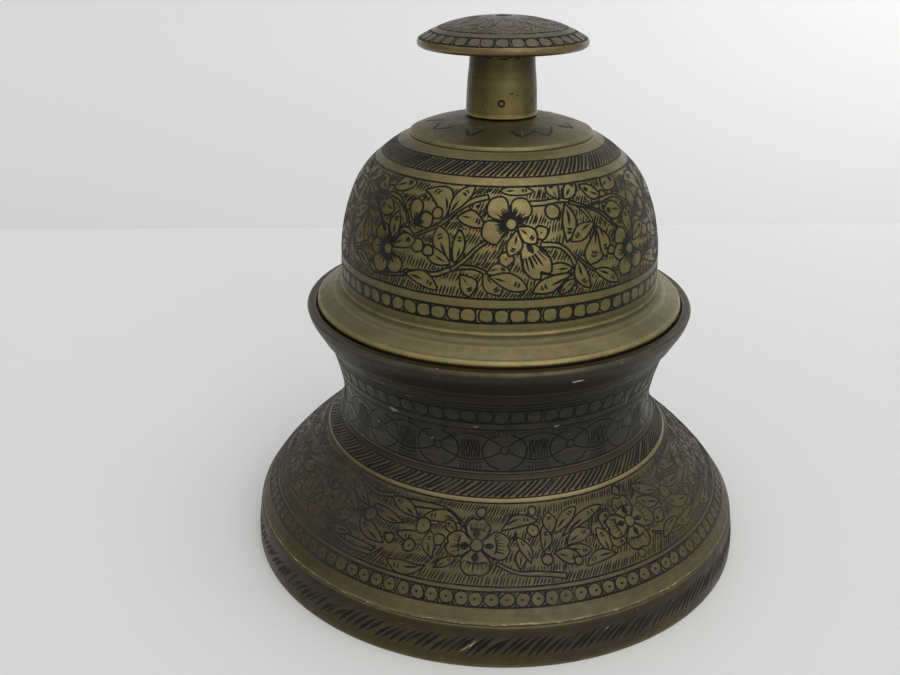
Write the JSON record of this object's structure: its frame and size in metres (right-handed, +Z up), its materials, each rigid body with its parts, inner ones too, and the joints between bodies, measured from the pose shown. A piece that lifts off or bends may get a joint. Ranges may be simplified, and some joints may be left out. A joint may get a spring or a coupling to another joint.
{
  "type": "hand bell with stand",
  "caption": "Engraved brass hand bell with a mushroom handle and a swinging clapper, seated like a lid in its own hollow flared stand.",
  "frame": {"origin": "middle of the stand's footprint, on the surface it stands on", "axes": "+Z up along the axis of the bell and the stand, +X to the right of the neck's locking pin seen from the front, -Y towards the front"},
  "size_m": [0.12, 0.12, 0.1232],
  "materials": {
    "foot_brass": "aged brass with brown patina, worn bright at the edge",
    "waist_brass": "darkened brass, dull grey sheen",
    "bell_brass": "aged olive brass, dusty soft sheen",
    "handle_brass": "aged brass, coppery where worn",
    "inner_brass": "as cast and turned, unpolished",
    "black_lac": "black lac rubbed into the engraving"
  },
  "bodies": {
    "stand": {"stand_foot": "foot_brass", "stand_waist": "waist_brass", "stand_ring": "waist_brass"},
    "bell": {"bell_dome": "bell_brass", "crown_disc": "bell_brass", "handle_neck": "handle_brass", "neck_pin": "inner_brass", "handle_cap": "handle_brass", "tie_rod": "inner_brass", "crown_washer": "inner_brass", "crown_nut": "inner_brass"},
    "link": {"clapper_link": "inner_brass"},
    "clapper": {"clapper_rod": "inner_brass", "clapper_bob": "inner_brass", "clapper_burr": "inner_brass"}
  },
  "joints": [
    {"name": "bell_lift", "type": "slide", "parent": "stand", "child": "bell", "axis": [0, 0, 1], "range_m": [0, 0.1]},
    {"name": "link_swing", "type": "hinge", "parent": "bell", "child": "link", "pos_m": [0, 0, 0.0836], "axis": [0, 1, 0], "range_deg": [-50, 50]},
    {"name": "clapper_swing", "type": "hinge", "parent": "link", "child": "clapper", "pos_m": [0, 0, 0.0768], "axis": [1, 0, 0], "range_deg": [-12, 12]}
  ]
}
